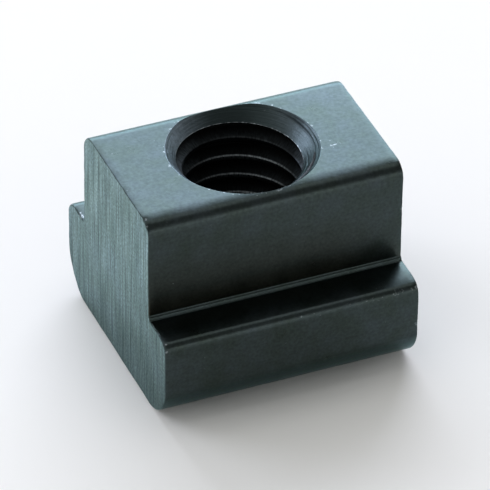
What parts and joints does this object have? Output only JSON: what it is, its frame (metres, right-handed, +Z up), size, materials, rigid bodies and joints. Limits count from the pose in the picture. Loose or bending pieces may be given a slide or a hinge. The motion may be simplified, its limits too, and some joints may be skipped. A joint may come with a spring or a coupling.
{
  "type": "t-slot nut",
  "caption": "T-section steel nut with a countersunk tapped hole: the flange runs under the lips of a T-slot, and a stud or screw in the hole pulls its shoulders up against them.",
  "frame": {"origin": "middle of the underside, on the axis of the tapped hole", "axes": "+X along the slot, +Y across it, +Z up along the hole, out of its upper mouth"},
  "size_m": [0.015, 0.0148, 0.012],
  "materials": {
    "blackened_steel": "black oxide on drawn steel: satin long sides, sawn ends with upright tool lines, turned countersink"
  },
  "bodies": {
    "root": {"t_slot_nut": "blackened_steel"}
  },
  "joints": []
}
